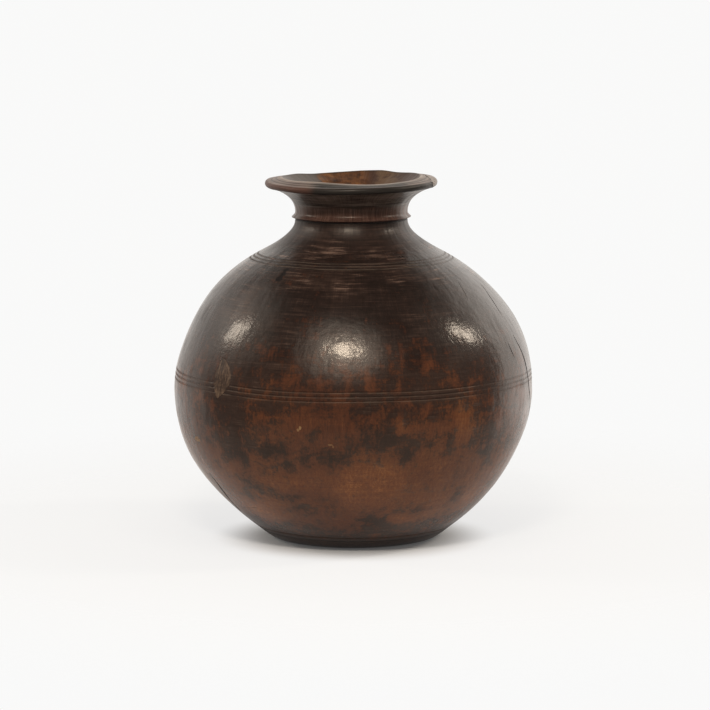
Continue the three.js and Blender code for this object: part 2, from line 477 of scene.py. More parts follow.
def seen_at(column, row):
    """The point of the body that shows at a place of the picture, or just inside its outline."""
    upward = camera_up * ((PICTURE / 2 - row) * PIXEL)
    inward = 1 if column < PICTURE / 2 else -1
    while True:
        across = camera_right * ((column - PICTURE / 2) * PIXEL)
        sight = (AIM + across + upward - camera.location).normalized()
        point, out = body_tree.ray_cast(camera.location, sight)[:2]
        if point:
            return point, out
        column += inward


def on_body(column, row):
    return seen_at(column, row)[0]


# Shader sockets.
class Tone:
    """A socket of a finish's nodes. Arithmetic on tones adds the Math nodes that work it out."""

    def __init__(self, tree, socket=None):
        self.tree = tree
        self.socket = socket

    def node(self, kind, settings, sockets, output=0):
        """Adds a node: its settings first, then the values or links of its sockets."""
        made = self.tree.nodes.new(kind)
        for name, value in settings.items():
            if name == "stops":
                fill_ramp(made.color_ramp, value)
            else:
                setattr(made, name, value)
        for name, value in sockets.items():
            if isinstance(value, Tone):
                self.tree.links.new(value.socket, made.inputs[name])
            else:
                made.inputs[name].default_value = value
        return Tone(self.tree, made.outputs[output] if made.outputs else None)

    def maths(self, operation, *terms):
        return self.node("ShaderNodeMath", {"operation": operation}, dict(enumerate(terms)))

    def __add__(self, other):
        return self.maths("ADD", self, other)

    __radd__ = __add__

    def __sub__(self, other):
        return self.maths("SUBTRACT", self, other)

    def __rsub__(self, other):
        return self.maths("SUBTRACT", other, self)

    def __mul__(self, other):
        return self.maths("MULTIPLY", self, other)

    __rmul__ = __mul__

    def __truediv__(self, other):
        return self.maths("DIVIDE", self, other)

    def __rtruediv__(self, other):
        return self.maths("DIVIDE", other, self)


def fill_ramp(ramp, stops):
    while len(ramp.elements) < len(stops):
        ramp.elements.new(1.0)
    for element, (place, colour) in zip(ramp.elements, stops):
        element.position = place
        element.color = colour


def paint(red, green, blue):
    """A colour as it looks on a screen, from 0 to 255, made linear."""
    def linear(part):
        part /= 255
        return part / 12.92 if part <= 0.04045 else ((part + 0.055) / 1.055) ** 2.4
    return (linear(red), linear(green), linear(blue), 1.0)


def rise(tone, low, high):
    """Goes smoothly from 0 to 1 as a tone goes from low to high."""
    settings = {"interpolation_type": "SMOOTHSTEP"}
    return tone.node("ShaderNodeMapRange", settings, {"Value": tone, "From Min": low, "From Max": high})


def between(tone, low, high, soft):
    """1 between two levels of a tone and 0 beyond them, with soft ends."""
    return rise(tone, low - soft, low + soft) * (1 - rise(tone, high - soft, high + soft))


def layered(under, over, amount):
    """One colour laid over another."""
    settings = {"data_type": "RGBA"}
    start = amount if isinstance(amount, Tone) else under
    return start.node("ShaderNodeMix", settings, {0: amount, 6: under, 7: over}, 2)


def shaded(tone, stops):
    """The colour of a ramp at a tone."""
    return tone.node("ShaderNodeValToRGB", {"stops": stops}, {"Fac": tone}, "Color")


def stretched(point, x, y, z):
    return point.node("ShaderNodeVectorMath", {"operation": "MULTIPLY"}, {0: point, 1: (x, y, z)})


def clouds(point, detail=2.0, roughness=0.5, distortion=0.0):
    return point.node("ShaderNodeTexNoise", {}, {
        "Vector": point, "Scale": 1.0, "Detail": detail, "Roughness": roughness, "Distortion": distortion,
    })


def start_finish(name):
    finish = bpy.data.materials.new(name)
    finish.use_nodes = True
    finish.node_tree.nodes.clear()
    return finish, Tone(finish.node_tree)


def end_finish(start, surface):
    start.node("ShaderNodeOutputMaterial", {}, {"Surface": surface})


def in_millimetres(start):
    point = start.node("ShaderNodeTexCoord", {}, {}, "Object")
    return point.node("ShaderNodeVectorMath", {"operation": "SCALE"}, {0: point, "Scale": 1 / MM})


def parts_of(point):
    return [point.node("ShaderNodeSeparateXYZ", {}, {"Vector": point}, axis) for axis in "XYZ"]


def mark(start, name):
    """A value that the mesh carries at its points."""
    return start.node("ShaderNodeAttribute", {"attribute_name": name}, {}, "Fac")


# The radius in mm to which upright marks are unrolled, and the warm tint of what the wax mirrors.
GIRTH = 150.0
WAX_TINT = (1.0, 0.88, 0.74, 1.0)


def unrolled(point):
    """A point moved out to one girth at its own height, so that upright marks follow the outline."""
    flat = stretched(point, 1, 1, 0)
    flat = flat.node("ShaderNodeVectorMath", {"operation": "NORMALIZE"}, {0: flat})
    around = stretched(flat, GIRTH, GIRTH, 0)
    height = stretched(point, 0, 0, 1)
    return around.node("ShaderNodeVectorMath", {"operation": "ADD"}, {0: around, 1: height})


def wood_grain(start):
    """The patterns that all the wood shares, each about 0.5 on average."""
    point = in_millimetres(start)
    upright = unrolled(point)
    x, y, z = parts_of(point)
    high = rise(z, 150.0, 225.0)

    def grown(wide, tall, detail):
        solid = clouds(stretched(point, wide, wide, tall), detail, 0.6)
        drawn = clouds(stretched(upright, wide, wide, tall), detail, 0.6)
        return solid + (drawn - solid) * high

    return SimpleNamespace(
        point=point, x=x, y=y, z=z, high=high,
        fibres=grown(0.42, 0.02, 4.0),
        hairs=grown(1.5, 0.06, 2.0),
        streaks=clouds(stretched(upright, 0.2, 0.2, 0.012), 4.0, 0.6, 0.4),
        smears=clouds(stretched(point, 0.12, 0.12, 0.04), 4.0, 0.62, 0.3),
        turning=clouds(stretched(point, 0.02, 0.02, 0.4), 5.0, 0.66, 0.7),
        strokes=clouds(stretched(point, 0.035, 0.035, 1.0), 3.0, 0.6, 0.6),
        blotches=clouds(stretched(point, 0.045, 0.045, 0.07), 7.0, 0.62, 0.7),
        broad=clouds(stretched(point, 0.013, 0.013, 0.016), 2.0, 0.5),
        patchy=clouds(stretched(point, 0.03, 0.03, 0.06), 2.0, 0.5),
        crackle=clouds(stretched(point, 0.4, 0.4, 0.33), 3.0, 0.6, 0.5),
        ripple=clouds(stretched(point, 0.13, 0.13, 0.1), 2.0, 0.5),
        facets=clouds(stretched(upright, 0.05, 0.05, 0.008), 2.0, 0.5),
    )


def away(point, centre, wide, high):
    """How far a point is from a centre, in half-widths across and half-heights up."""
    gap = point.node("ShaderNodeVectorMath", {"operation": "SUBTRACT"}, {0: point, 1: centre})
    gap = stretched(gap, 1 / wide, 1 / wide, 1 / high)
    return gap.node("ShaderNodeVectorMath", {"operation": "LENGTH"}, {0: gap}, "Value")


def spot(grain, place, wide, high, ragged):
    """1 inside a small ragged mark at a place of the picture, and 0 outside it."""
    far = away(grain.point, on_body(*place) / MM, wide, high)
    return 1 - rise(far + (grain.crackle - 0.5) * ragged, 0.75, 1.15)


def waxed(start, grain, colour, dull, dry):
    """Ends a finish with a worn skin of wax over a colour, and bare wood where it is dry."""
    crazed = between(grain.z, 184.0, 246.0, 14.0)
    relief = grain.crackle * (0.03 + crazed * 0.085) + grain.ripple * 0.3 + grain.facets * 0.35
    relief = relief + grain.fibres * 0.035 + grain.hairs * 0.008 + grain.turning * 0.05
    normal = relief.node("ShaderNodeBump", {}, {"Strength": 1.0, "Distance": MM, "Height": relief})
    wax = start.node("ShaderNodeBsdfPrincipled", {}, {
        "Base Color": colour,
        "Roughness": 0.13 + grain.blotches * 0.07 + dull * 0.3,
        "Normal": normal,
        "Specular IOR Level": 0.32,
        "Specular Tint": WAX_TINT,
        "Coat Weight": 0.07,
        "Coat Roughness": 0.36,
    })
    bare = start.node("ShaderNodeBsdfPrincipled", {}, {
        "Base Color": colour,
        "Roughness": 0.6 + grain.hairs * 0.2,
        "Normal": normal,
        "Specular IOR Level": 0.1,
    })
    end_finish(start, start.node("ShaderNodeMixShader", {}, {0: dry, 1: wax, 2: bare}))


def jar_wood(name, tones, soot, figure=1.0, marked=False):
    """Old red wood under a dark skin of smoke, thick above and worn through below."""
    finish, start = start_finish(name)
    grain = wood_grain(start)
    # Wear and smoke marks, two of which paint the floor's reflection on the lower belly.
    worn = mark(start, "worn")
    high = grain.high
    foot = 1 - rise(grain.z, 10.0, 24.0)
    tone = 0.5 + ((grain.fibres - 0.5) * 0.8 + (grain.hairs - 0.5) * 0.8) * figure
    tone = tone + (grain.broad - 0.5) * 0.9 + worn * 0.15
    tone = tone + (grain.blotches - 0.5) * 0.5 + (grain.turning - 0.5) * 0.5
    colour = shaded(tone, tones["wood"])

    # The smoke skin, drawn out in thin strokes where the tool has gone round.
    height = grain.z / (CREST_HEIGHT / MM)
    depth = shaded(height, SKIN_DEPTH)
    shallow = rise(grain.z, 284.0, 300.0)
    tooled = between(grain.z, 264.0, 302.0, 14.0)
    patch = (rise(grain.patchy, 0.35, 0.65) + tooled * 0.25) * (1 - shallow * 0.15)
    skin = depth + soot - worn * (0.3 - high * 0.23) + (grain.blotches - 0.5) * (1.55 - high * 0.55)
    skin = skin + (grain.smears - 0.5) * 0.8 + (grain.broad - 0.5) * 0.4 + (grain.fibres - 0.5) * 0.6
    skin = skin + (grain.turning - 0.5) * (0.4 + high * 0.4) + (grain.hairs - 0.5) * 0.45
    skin = rise(skin + (grain.crackle - 0.5) * (1 - high) * 0.6, 0.23, 0.71)
    smoke = 0.38 - high * 0.12 + worn * 0.25 + (grain.turning - 0.5) * (0.8 + patch * (1.0 + tooled * 1.4))
    smoke = smoke + (grain.strokes - 0.5) * (0.4 + patch * (0.4 + tooled * 3.0)) + (grain.hairs - 0.5) * 0.5
    smoke = smoke + (grain.broad - 0.5) * 0.7
    smoke = smoke + (grain.smears - 0.5) * (0.8 - high * 0.4) + (grain.blotches - 0.5) * 1.0
    smoked = layered(shaded(smoke, tones["smoke"]), tones["warm"], (1 - high) * 0.45)
    colour = layered(colour, smoked, skin * 0.96)
    colour = layered(colour, tones["foot"], foot * 0.65)
    # Painted contact shade: the lowest few mm of the foot are darkened where it meets the floor.
    colour = layered(colour, tones["check"], (1 - rise(grain.z, 0.8, 4.0)) * 0.8)

    # Fine drying checks along the grain.
    drift = clouds(stretched(grain.point, 0.06, 0.06, 0.005), 3.0, 0.5) - 0.5
    checks = 1 - rise(drift.maths("ABSOLUTE", drift), 0.0, 0.012)
    checks = checks * rise(grain.smears, 0.46, 0.62)
    colour = layered(colour, tones["check"], checks * 0.4)

    # The painted shade on the upper side of the incised lines, and the dust with a painted lit edge on their
    # lower side.
    lines = mark(start, "lines")
    dust = mark(start, "dust")
    kept = rise(clouds(stretched(grain.point, 0.045, 0.045, 0.3), 3.0, 0.6), 0.32, 0.62)
    colour = layered(colour, tones["line"], lines * 0.36)
    colour = layered(colour, tones["dust"], dust * (0.14 + kept * 0.5))
    dry = rise(grain.streaks, 0.42, 0.68) * (0.06 + rise(grain.patchy, 0.4, 0.65) * 0.3)
    dry = 0.14 + dry * rise(grain.z, 60.0, 140.0)
    dry = dry + shallow * 0.3 + lines * 0.9 + dust * 0.9 + foot * 0.5
    if marked:
        for kind, place, wide, tall, ragged, strength in SPOTS:
            inside = spot(grain, place, wide, tall, ragged) * strength
            colour = layered(colour, tones[kind], inside)
            dry = dry + inside
    dull = foot * 0.6 + checks * 0.4 + lines * 0.5 + dust * 0.5 + shallow * 0.5
    waxed(start, grain, colour, dull, dry)
    return finish


LIP_MARKS = ("mouth", "top", "crest", "edge", "turned_lines")


def neck_wood(name, tones):
    """The neck's wood: smoked above, redder by the bead, rubbed pale on the lip and warm in the mouth, with a
    painted highlight on the near crest.
    """
    finish, start = start_finish(name)
    grain = wood_grain(start)
    mouth, top, crest, edge, turned_lines = (mark(start, part) for part in LIP_MARKS)
    waist = waist_bottom / MM
    tone = 0.45 + (grain.fibres - 0.5) * 1.2 + (grain.hairs - 0.5) * 2.0 + (grain.streaks - 0.5) * 1.2
    colour = shaded(tone, tones["neck"])
    skin = 0.25 + rise(grain.z, waist + 6.0, waist + 13.0) * 0.6 + (grain.blotches - 0.5) * 0.9
    smoke = 0.45 + (grain.turning - 0.5) * 2.4 + (grain.strokes - 0.5) * 1.8
    colour = layered(colour, shaded(smoke, tones["neck_smoke"]), rise(skin, 0.2, 0.7) * 0.95)

    # The front edge of the lip, redder to the left.
    red = (1 - rise(grain.x, -48.0, -36.0)) * (0.6 + grain.smears * 0.8)
    colour = layered(colour, layered(tones["lip_edge"], tones["lip_red"], red), edge * 0.9)

    # The top of the lip, with rings of dirt; the crest's painted highlight comes further down.
    rings = 0.5 + (grain.turning - 0.5) * 1.4 + (grain.blotches - 0.5) * 0.9
    face = layered(shaded(rings, tones["lip"]), tones["lip_red"], red * 0.35)
    front = (1 - rise(grain.y, -35.0, -5.0)) * between(grain.x, -38.0, 52.0, 8.0)
    face = layered(face, tones["lip_grey"], front * 0.7)
    ring = grain.x * grain.x + grain.y * grain.y
    outer = rise(ring.maths("SQRT", ring), crest_radius / MM + 3.0, crest_radius / MM + 8.0)
    face = layered(face, tones["lip_edge"], outer * front * 0.85)
    face = layered(face, tones["lip_edge"], turned_lines * (0.35 + grain.smears * 0.8))
    colour = layered(colour, face, top)

    # The inside, with its smoke worn away in places.
    mottle = 0.5 + (grain.blotches - 0.5) * 2.6 + (grain.smears - 0.5) * 1.6
    across = grain.x + (grain.smears - 0.5) * 24.0 + (grain.blotches - 0.5) * 30.0
    inside = layered(tones["mouth_grey"], tones["mouth_brown"], rise(across, -10.0, 20.0))
    inside = layered(inside, shaded(mottle, tones["mouth"]), between(across, -33.0, 15.0, 7.0))
    inside = layered(inside, tones["mouth_tan"], between(across, 26.0, 46.0, 7.0) * rise(mottle, 0.2, 0.7))
    colour = layered(colour, inside, mouth)
    # A painted highlight along the near crest, with a darker tone on the far crest.
    rim = layered(tones["crest"], tones["far_rim"], rise(grain.y, -10.0, 15.0))
    colour = layered(colour, rim, crest * (0.25 + grain.turning * 0.9))
    dry = 0.12 + rise(grain.fibres, 0.42, 0.62) * 0.6 * (1 - top) * (1 - edge) + edge * 0.5 + top * 0.1
    waxed(start, grain, colour, 0.4 + top * 0.5 + mouth * 0.5, dry)
    return finish


def plain_dark(name, colour, lighter):
    """Dark resin in the joints, and the dark colour in the cracks."""
    finish, start = start_finish(name)
    point = in_millimetres(start)
    specks = clouds(stretched(point, 0.5, 0.5, 0.5), 3.0, 0.6)
    shade = layered(colour, lighter, rise(specks, 0.45, 0.7))
    normal = specks.node("ShaderNodeBump", {}, {"Strength": 1.0, "Distance": 0.1 * MM, "Height": specks})
    shader = start.node("ShaderNodeBsdfPrincipled", {}, {
        "Base Color": shade, "Roughness": 0.55 + specks * 0.2, "Normal": normal, "Specular IOR Level": 0.3,
    })
    end_finish(start, shader)
    return finish


def level(place, amount):
    return (place, (amount, amount, amount, 1.0))


# How thick the smoke skin is, from the floor up to the lip.
SKIN_DEPTH = (
    level(0.0, 0.7),
    level(0.06, 0.6),
    level(0.11, 0.36),
    level(0.25, 0.28),
    level(0.3, 0.42),
    level(0.42, 0.52),
    level(0.56, 0.7),
    level(0.64, 0.86),
    level(1.0, 0.96),
)
JAR_TONES = {
    "wood": (
        (0.0, paint(64, 38, 29)),
        (0.4, paint(93, 54, 36)),
        (0.7, paint(117, 70, 42)),
        (1.0, paint(146, 94, 56)),
    ),
    "smoke": (
        (0.0, paint(26, 22, 20)),
        (0.35, paint(38, 30, 27)),
        (0.65, paint(60, 47, 41)),
        (1.0, paint(104, 84, 73)),
    ),
    "warm": paint(54, 35, 28),
    "foot": paint(66, 57, 53),
    # The dark of the drying checks, also laid on as painted contact shade at the bottom of the foot.
    "check": paint(30, 24, 22),
    "line": paint(36, 28, 24),
    "dust": paint(108, 92, 78),
    # The incised lines: painted shade on their upper side, and dust with painted light on their lower side.
    "knot": paint(26, 21, 19),
    "chip": paint(164, 130, 92),
    "bruise": paint(168, 138, 111),
}
NECK_TONES = {
    "neck": (
        (0.0, paint(56, 38, 33)),
        (0.5, paint(90, 63, 53)),
        (1.0, paint(140, 109, 94)),
    ),
    "neck_smoke": (
        (0.0, paint(46, 38, 34)),
        (0.5, paint(90, 78, 71)),
        (1.0, paint(132, 117, 107)),
    ),
    "lip_edge": paint(33, 31, 29),
    "lip_red": paint(84, 57, 48),
    "lip_grey": paint(78, 76, 72),
    "lip": (
        (0.0, paint(68, 57, 51)),
        (0.4, paint(108, 94, 85)),
        (1.0, paint(156, 140, 128)),
    ),
    # A painted highlight on the lip's near crest.
    "crest": paint(190, 177, 163),
    "far_rim": paint(54, 44, 38),
    "mouth_grey": paint(84, 77, 72),
    "mouth_brown": paint(66, 48, 40),
    "mouth_tan": paint(98, 77, 60),
    "mouth": (
        (0.0, paint(46, 34, 28)),
        (0.35, paint(78, 51, 35)),
        (0.6, paint(98, 65, 42)),
        (1.0, paint(130, 90, 58)),
    ),
}
PATCH_TONES = JAR_TONES | {
    "wood": (
        (0.0, paint(44, 34, 29)),
        (0.4, paint(68, 52, 43)),
        (0.7, paint(98, 77, 62)),
        (1.0, paint(130, 106, 86)),
    ),
}
LIP_TONES = JAR_TONES | {
    "wood": (
        (0.0, paint(96, 86, 79)),
        (0.5, paint(130, 118, 109)),
        (1.0, paint(158, 145, 135)),
    ),
}

# Small marks: the tone, place in the picture, half-width and half-height in mm, how ragged, strength.
SPOTS = (
    ("knot", (286, 270), 3.2, 3.4, 1.2, 1.0),
    ("knot", (283, 274), 3.4, 3.6, 1.2, 1.0),
    ("knot", (279, 279), 4.2, 3.0, 1.2, 1.0),
    ("bruise", (197, 439), 5.6, 2.6, 2.0, 0.7),
    ("chip", (298, 430), 1.2, 1.6, 1.2, 0.6),
    ("chip", (300, 428), 1.4, 2.0, 1.2, 0.85),
    ("chip", (330, 445), 2.2, 0.7, 1.2, 0.45),
    ("chip", (333, 447), 0.7, 1.6, 1.2, 0.4),
)
body_finish = jar_wood("body_wood", JAR_TONES, soot=0.0, marked=True)
neck_finish = neck_wood("neck_wood", NECK_TONES)
base_finish = jar_wood("base_wood", JAR_TONES, soot=0.1)
patch_finish = jar_wood("patch_wood", PATCH_TONES, soot=-0.65, figure=2.6)
rim_patch_finish = jar_wood("rim_patch_wood", LIP_TONES, soot=-1.2)
resin_finish = plain_dark("joint_resin", paint(34, 27, 24), paint(50, 40, 34))
bed_finish = plain_dark("base_bed_resin", paint(46, 39, 36), paint(60, 52, 47))
crack_finish = plain_dark("crack_dark", paint(22, 17, 14), paint(40, 30, 24))


def add_piece(name, node, mesh, finishes):
    """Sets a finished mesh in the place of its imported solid."""
    made = as_object(name, mesh, finishes)
    made.data.shade_smooth()
    made.data.set_sharp_from_angle(angle=SHARP_ANGLE)
    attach(made, "root")
    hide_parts(node)
    return made


# Worn and smoked places, two of them painted reflections of the floor: column and row in the picture,
# half-width and half-height in mm, and strength.
WEAR_AND_SHEEN_MARKS = (
    (292, 371, 8, 14, 0.8),
    (250, 372, 9, 9, -0.6),
    (281, 364, 6, 4, 0.5),
    (428, 362, 8, 14, 0.6),
    (424, 320, 20, 13, 0.7),
    (322, 253, 46, 10, 0.55),
    (398, 252, 24, 8, 0.4),
    (330, 274, 14, 8, 0.5),
    (302, 330, 22, 14, 0.8),
    (300, 362, 12, 8, 0.5),
    (408, 343, 26, 10, 0.8),
    (450, 365, 14, 12, 0.5),
    (381, 283, 18, 10, -0.6),
    (405, 519, 18, 9, 0.8),
    (400, 366, 6, 12, 0.7),
    (303, 420, 24, 14, 0.65),
    (302, 484, 30, 10, 0.6),
    (352, 490, 14, 26, 0.8),
    (387, 484, 26, 26, 1.0),
    (436, 470, 22, 18, 0.6),
    (460, 421, 7, 20, 0.9),
    (401, 425, 5, 9, 0.9),
    (440, 500, 24, 12, 0.5),
    # A painted reflection of the floor on the lower left of the belly.
    (262, 512, 24, 14, 1.5),
    (294, 278, 34, 14, 1.3),
    (236, 430, 16, 40, -0.5),
    (212, 425, 22, 34, -0.5),
    (250, 480, 16, 16, -0.5),
    (472, 415, 10, 30, 0.4),
    # A painted reflection of the floor on the lower right of the belly.
    (470, 495, 20, 18, 0.6),
    (268, 452, 9, 8, -1.2),
    (284, 452, 7, 5, -1.2),
    (288, 467, 5, 10, -1.0),
    (305, 460, 5, 9, -1.0),
    (333, 459, 15, 12, -1.3),
    (295, 497, 11, 7, -1.0),
    (299, 508, 7, 5, -0.9),
    (241, 456, 14, 16, -0.8),
    (381, 442, 21, 11, -0.9),
    (408, 457, 9, 11, -1.0),
    (458, 496, 8, 12, -0.8),
    (420, 509, 7, 4, -0.9),
    (372, 521, 16, 10, -1.0),
    (488, 446, 12, 20, -0.7),
    (435, 293, 26, 18, -0.6),
)
# A mark has faded out at this many half-widths.
MARK_FADE = 2.6
# The two sides of an incised line, one with painted shade and one with dust and painted light: how far up
# from its middle, and how wide.
SHADED_SIDE = (0.25 * MM, 0.75 * MM)
DUSTY_LIT_SIDE = (-0.85 * MM, 0.42 * MM)


def nearby(point, centre, wide, high):
    """How far a point is from a mark's centre, in half-widths across and half-heights along."""
    across = facing(azimuth(centre) + pi / 2)
    gap = point - centre
    side = gap.dot(across)
    up = (gap - across * side).length
    return hypot(side / wide, up / high)


def by_line(height, offset, reach):
    """How close a height lies to one side of an incised line, from 0 to 1."""
    return max(
        clear * exp(-((((height - middle) / steep - offset) / reach) ** 2))
        for middle, steep, clear in LINE_PLACES
    )


def lay_marks(mesh, lined):
    """Writes the worn places and the painted floor sheen, and the two sides of the incised lines with their
    painted shade and their dust and painted light, onto a mesh's points.
    """
    worn = mesh.verts.layers.float.new("worn")
    lines = mesh.verts.layers.float.new("lines")
    dust = mesh.verts.layers.float.new("dust")
    for column, row, wide, high, strength in WEAR_AND_SHEEN_MARKS:
        centre = on_body(column, row)
        reach = MARK_FADE * MM * max(wide, high)
        for point in mesh.verts:
            if abs(point.co.z - centre.z) < reach and abs(point.co.x - centre.x) < reach:
                point[worn] += strength * exp(-nearby(point.co, centre, wide * MM, high * MM) ** 2)
    if lined:
        for point in mesh.verts:
            first_height = 2 * point.co.z - aged(point.co).z
            kept = along(LINES_KEPT, azimuth(point.co))
            # Painted shade on the upper side of each line, and dust with painted light on its lower side.
            point[lines] = kept * by_line(first_height, *SHADED_SIDE)
            point[dust] = kept * by_line(first_height, *DUSTY_LIT_SIDE)


# The pointed patch, and the pocket that it is let into.
def pointed_prism(margin, depth):
    """A pointed prism through the outside of the belly, down to a depth under it."""
    mesh = bmesh.new()
    tip = PATCH_LENGTH / 2 + 2 * margin
    outer = BELLY_RADIUS + PRISM_OVERRUN
    shares = [index / PRISM_STEPS for index in range(PRISM_STEPS)]
    right = [(4 * t * (1 - t) * (PATCH_RIGHT + margin), tip * (2 * t - 1)) for t in shares]
    left = [(-4 * t * (1 - t) * (PATCH_LEFT + margin), tip * (1 - 2 * t)) for t in shares]
    ring = [mesh.verts.new((across, -outer, belly_height + PATCH_RISE + up)) for across, up in right + left]
    face = mesh.faces.new(ring)
    pushed = bmesh.ops.extrude_face_region(mesh, geom=[face])["geom"]
    bottom = outline_radius(belly_height + PATCH_RISE) - depth
    moved = [item for item in pushed if isinstance(item, bmesh.types.BMVert)]
    bmesh.ops.translate(mesh, verts=moved, vec=(0, outer - bottom, 0))
    bmesh.ops.rotate(mesh, verts=mesh.verts, matrix=Matrix.Rotation(PATCH_TURN, 3, "Z"))
    bmesh.ops.recalc_face_normals(mesh, faces=mesh.faces)
    return mesh


def stand_height(points, height):
    """How far along a rising curve a height lies."""
    return next(far for far, point in zip(lengths(points), points) if point.z >= height)


def patch_blank():
    """A piece of the belly's outer layer, larger than the patch."""
    middle = stand_height(shoulder, belly_height + PATCH_RISE)
    reach = BLANK_SHARE * PATCH_LENGTH
    travelled = lengths(shoulder)
    places = [middle - reach + 2 * reach * index / PATCH_STEPS for index in range(PATCH_STEPS + 1)]
    outer = [stand(shoulder, travelled, place) for place in places]
    inner = [stand(shoulder, travelled, place, PATCH_DEPTH) for place in places]
    spread = 2 * reach / BELLY_RADIUS
    return turned(outer + inner[::-1], spread, PATCH_TURN - pi / 2 - spread / 2)


patch = carved(
    weathered(patch_blank()), pointed_prism(0, PATCH_DEPTH * 2), "INTERSECT", [patch_finish, patch_finish]
)
for face in patch.faces:
    face.material_index = 0

# Cracks: column and row in the picture along each, with its width and depth in mm.
CRACKS = (
    (((209, 473), (216, 481), (224, 492), (231, 501), (238, 508)), 2.9, 6.0),
    (((235, 505), (238, 508), (241, 511)), 2.6, 4.0),
    (((480, 283), (488, 294), (496, 306), (503, 318)), 1.5, 3.0),
    (((513, 335), (519, 346), (524, 358), (527, 372), (529, 388), (530, 402), (529, 416)), 2.6, 5.0),
    (((508, 343), (511, 350), (515, 359)), 1.4, 2.5),
    (((457, 280), (462, 288), (468, 300)), 0.8, 2.0),
    (((242, 507), (250, 508), (258, 507)), 0.5, 1.5),
)
CRACK_STEP = 2 * MM
CRACK_EASING = 6
CRACK_WAVER = 0.35
CRACK_WAVER_REACH = 5 * MM
CRACK_FLARE = 1.3


def crack_path(places):
    """Points close together along a crack, a little uneven, with the way out of the surface at each."""
    corners = [on_body(column, row) for column, row in places]
    path = []
    for a, b in zip(corners, corners[1:]):
        count = max(2, round((b - a).length / CRACK_STEP))
        path += [a.lerp(b, index / count) for index in range(count)]
    path.append(corners[-1])
    for _ in range(CRACK_EASING):
        middles = [(a + b + c) / 3 for a, b, c in zip(path, path[1:], path[2:])]
        path = path[:1] + middles + path[-1:]
    path = [point + noise.noise_vector(point / CRACK_WAVER_REACH) * CRACK_WAVER * MM for point in path]
    return [body_tree.find_nearest(point)[:2] for point in path]


def blade(places, width, depth):
    """A thin wedge that opens a crack along a path."""
    mesh = bmesh.new()
    path = crack_path(places)
    last = len(path) - 1
    loops = []
    for index, (point, out) in enumerate(path):
        run = path[min(index + 1, last)][0] - path[max(index - 1, 0)][0]
        side = out.cross(run).normalized()
        full = 0.08 + 0.92 * sin(pi * (0.04 + 0.92 * index / last)) ** 0.7
        half = width * MM / 2 * full
        proud = point + out * MM
        spread = side * half * CRACK_FLARE
        corners = (proud + spread, proud - spread, point - out * (depth * MM * full))
        ring = [mesh.verts.new(corner) for corner in corners]
        loops.append([mesh.edges.new(pair) for pair in zip(ring, ring[1:] + ring[:1])])
    for a, b in zip(loops, loops[1:]):
        bmesh.ops.bridge_loops(mesh, edges=a + b)
    bmesh.ops.holes_fill(mesh, edges=[edge for edge in mesh.edges if edge.is_boundary])
    bmesh.ops.recalc_face_normals(mesh, faces=mesh.faces)
    return mesh


for cutter in [pointed_prism(PLAY, PATCH_DEPTH + PLAY)] + [blade(*crack) for crack in CRACKS]:
    body = carved(body, cutter, "DIFFERENCE", [body_finish, crack_finish])

lay_marks(body, lined=True)
lay_marks(patch, lined=False)
add_piece("jar_body", "turned_body", body, [body_finish, crack_finish])
add_piece("belly_repair", "belly_patch", patch, [patch_finish])


# The neck, cut off where the lip is repaired.
def neck_curves():
    nose = at(nose_radius, nose_height + BEAD_NOSE)
    quirk = sweep(nose, BEAD_LEAN, at(neck_radius, waist_bottom), UPRIGHT, (0.4, 0.4))
    waist = sweep(
        at(neck_radius, waist_bottom), UPRIGHT, at(lip_edge_radius, lip_bottom), LIP_LEAN, (0.47, 0.17)
    )
    round_edge = LIP_EDGE / 2
    middle = at(lip_edge_radius, lip_bottom + round_edge)
    turns = [pi * index / LIP_EDGE_STEPS - UPRIGHT for index in range(LIP_EDGE_STEPS + 1)]
    edge = [middle + heading(turn) * round_edge for turn in turns]
    outer, inner = at(lip_edge_radius, lip_top), at(crest_radius, CREST_HEIGHT)
    face = [outer.lerp(inner, index / LIP_FACE_STEPS) for index in range(LIP_FACE_STEPS + 1)]
    funnel = sweep(
        at(crest_radius, CREST_HEIGHT), FUNNEL_LEAN, at(BORE_RADIUS, CREST_HEIGHT - FUNNEL_DEPTH), -UPRIGHT,
        (0.35, 0.5),
    )
    return SimpleNamespace(quirk=quirk, waist=waist, edge=edge, face=face, funnel=funnel)


def neck_profile(lines):
    curves = neck_curves()
    return (
        [at(neck_radius, NECK_BOTTOM), at(nose_radius, nose_height)]
        + dressed(curves.quirk, SMALL_STEP)
        + dressed(curves.waist, SMALL_STEP)[1:]
        + curves.edge[1:]
        + dressed(curves.face, SMALL_STEP, lines)[1:]
        + dressed(curves.funnel, SMALL_STEP)[1:]
        + [at(BORE_RADIUS, SOCKET_BOTTOM), at(spigot_radius, SOCKET_BOTTOM), at(spigot_radius, NECK_BOTTOM)]
    )


def sawn(mesh, distance, keep_outer):
    """Cuts a mesh straight across the lip and closes the cut."""
    geometry = list(mesh.verts) + list(mesh.edges) + list(mesh.faces)
    bmesh.ops.bisect_plane(
        mesh, geom=geometry, dist=SAW_SLACK, plane_co=cut_facing * distance, plane_no=cut_facing,
        clear_inner=keep_outer, clear_outer=not keep_outer,
    )
    bmesh.ops.holes_fill(mesh, edges=[edge for edge in mesh.edges if edge.is_boundary])
    bmesh.ops.recalc_face_normals(mesh, faces=mesh.faces)
    return mesh


# The lip: the reach of the crest's painted highlight, the edge of its top, its turned lines, and where the
# mouth and the edge begin.
CREST_HIGHLIGHT_REACH = 1.2 * MM
TOP_EDGE = 0.9 * MM
TURNED_LINE = 0.8 * MM
MOUTH_MARGIN = 0.5 * MM
EDGE_DROP = 0.6 * MM
EDGE_FADE = 0.8 * MM


